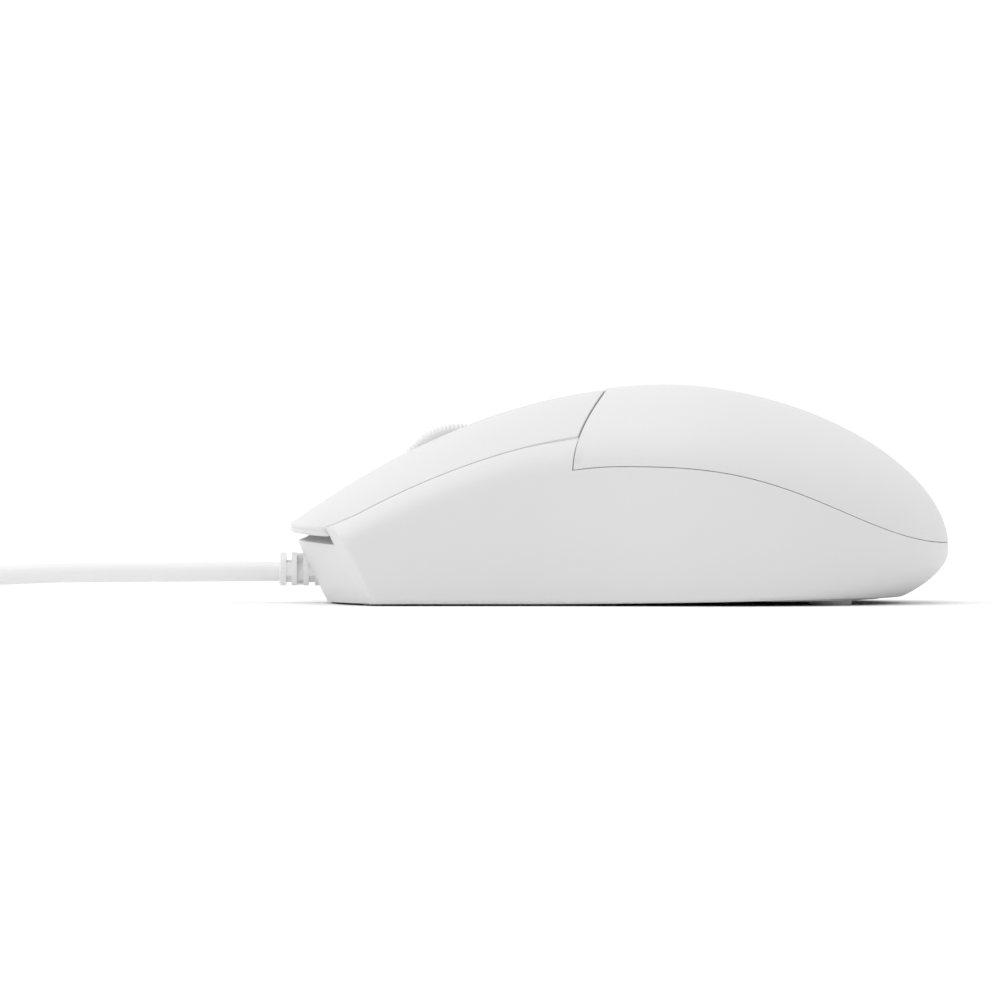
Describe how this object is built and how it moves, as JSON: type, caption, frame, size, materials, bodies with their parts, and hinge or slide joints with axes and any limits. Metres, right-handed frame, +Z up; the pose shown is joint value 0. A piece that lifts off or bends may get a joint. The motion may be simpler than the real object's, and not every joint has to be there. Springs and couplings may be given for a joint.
{
  "type": "computer mouse",
  "caption": "Wired optical computer mouse with split front buttons, a pressing scroll wheel, a rounded palm cover and a tied cable with its plug.",
  "frame": {"origin": "centre of the mouse's bounding box in plan, on the underside of its feet", "axes": "-X towards the cable, +Z up, -Y the mouse's left side"},
  "size_m": [0.2813, 0.0794, 0.0387],
  "materials": {
    "shell": "satin",
    "button": "satin",
    "palm": "fine matte texture",
    "strip": "satin",
    "base": "satin",
    "foot": "slick",
    "tyre": "ribbed rubber",
    "hub": "satin",
    "axle": "ground",
    "cradle": "satin",
    "spring": "drawn wire",
    "switch": "satin",
    "plunger": "satin",
    "board": "solder mask",
    "chip": "moulded",
    "lens": "clear",
    "led": "clear epoxy",
    "can": "drawn can",
    "plug_white": "moulded",
    "cable": "soft sheath",
    "relief": "moulded",
    "tie": "coated",
    "usb_metal": "stamped",
    "usb_tongue": "moulded",
    "gold": "plated",
    "screw": "plated"
  },
  "bodies": {
    "housing": {"base_plate": "base", "board_screw_1": "screw", "board_screw_2": "screw", "board_screw_3": "screw", "cable_coil": "cable", "cable_connector": "plug_white", "cable_inner": "cable", "cable_lead": "cable", "cable_tail": "cable", "cable_tie": "tie", "capacitor": "can", "case_screw_1": "screw", "case_screw_2": "screw", "case_screw_3": "screw", "centre_strip": "strip", "controller_chip": "chip", "cradle_spring": "spring", "crystal": "can", "foot_front_left": "foot", "foot_front_right": "foot", "foot_rear_left": "foot", "foot_rear_right": "foot", "ir_detector": "led", "ir_emitter": "led", "left_switch": "switch", "main_board": "board", "middle_switch": "switch", "palm_cover": "palm", "right_switch": "switch", "sensor_chip": "chip", "sensor_lens": "lens", "side_shell": "shell", "strain_relief": "relief", "usb_contacts": "gold", "usb_overmould": "cable", "usb_shell": "usb_metal", "usb_tongue": "usb_tongue"},
    "left_button_body": {"left_button": "button"},
    "right_button_body": {"right_button": "button"},
    "left_plunger_body": {"left_plunger": "plunger"},
    "right_plunger_body": {"right_plunger": "plunger"},
    "middle_plunger_body": {"middle_plunger": "plunger"},
    "cradle_body": {"wheel_cradle": "cradle"},
    "wheel_body": {"wheel_tyre": "tyre", "wheel_hub": "hub", "wheel_axle": "axle"}
  },
  "joints": [
    {"name": "left_button_press", "type": "hinge", "parent": "housing", "child": "left_button_body", "pos_m": [-0.005, 0, 0.031], "axis": [0, -1, 0], "range_deg": [0, 0.85], "stiffness_Nm_per_rad": 1.2},
    {"name": "right_button_press", "type": "hinge", "parent": "housing", "child": "right_button_body", "pos_m": [-0.005, 0, 0.031], "axis": [0, -1, 0], "range_deg": [0, 0.85], "stiffness_Nm_per_rad": 1.2},
    {"name": "left_plunger_slide", "type": "slide", "parent": "housing", "child": "left_plunger_body", "axis": [0, 0, -1], "range_m": [0, 0.0005]},
    {"name": "right_plunger_slide", "type": "slide", "parent": "housing", "child": "right_plunger_body", "axis": [0, 0, -1], "range_m": [0, 0.0005]},
    {"name": "wheel_press", "type": "hinge", "parent": "housing", "child": "cradle_body", "pos_m": [-0.011, 0, 0.0104], "axis": [0, -1, 0], "range_deg": [0, 1.15], "stiffness_Nm_per_rad": 1, "deforming": ["cradle_spring"]},
    {"name": "wheel_spin", "type": "hinge", "parent": "cradle_body", "child": "wheel_body", "pos_m": [-0.0285, 0, 0.0205], "axis": [0, 1, 0], "continuous": true},
    {"name": "middle_plunger_slide", "type": "slide", "parent": "housing", "child": "middle_plunger_body", "axis": [0, 0, -1], "range_m": [0, 0.00062]}
  ],
  "couplings": [
    {"joint": "left_plunger_slide", "follows": "left_button_press", "m_per_rad": 0.033},
    {"joint": "right_plunger_slide", "follows": "right_button_press", "m_per_rad": 0.033},
    {"joint": "middle_plunger_slide", "follows": "wheel_press", "m_per_rad": 0.0302}
  ]
}
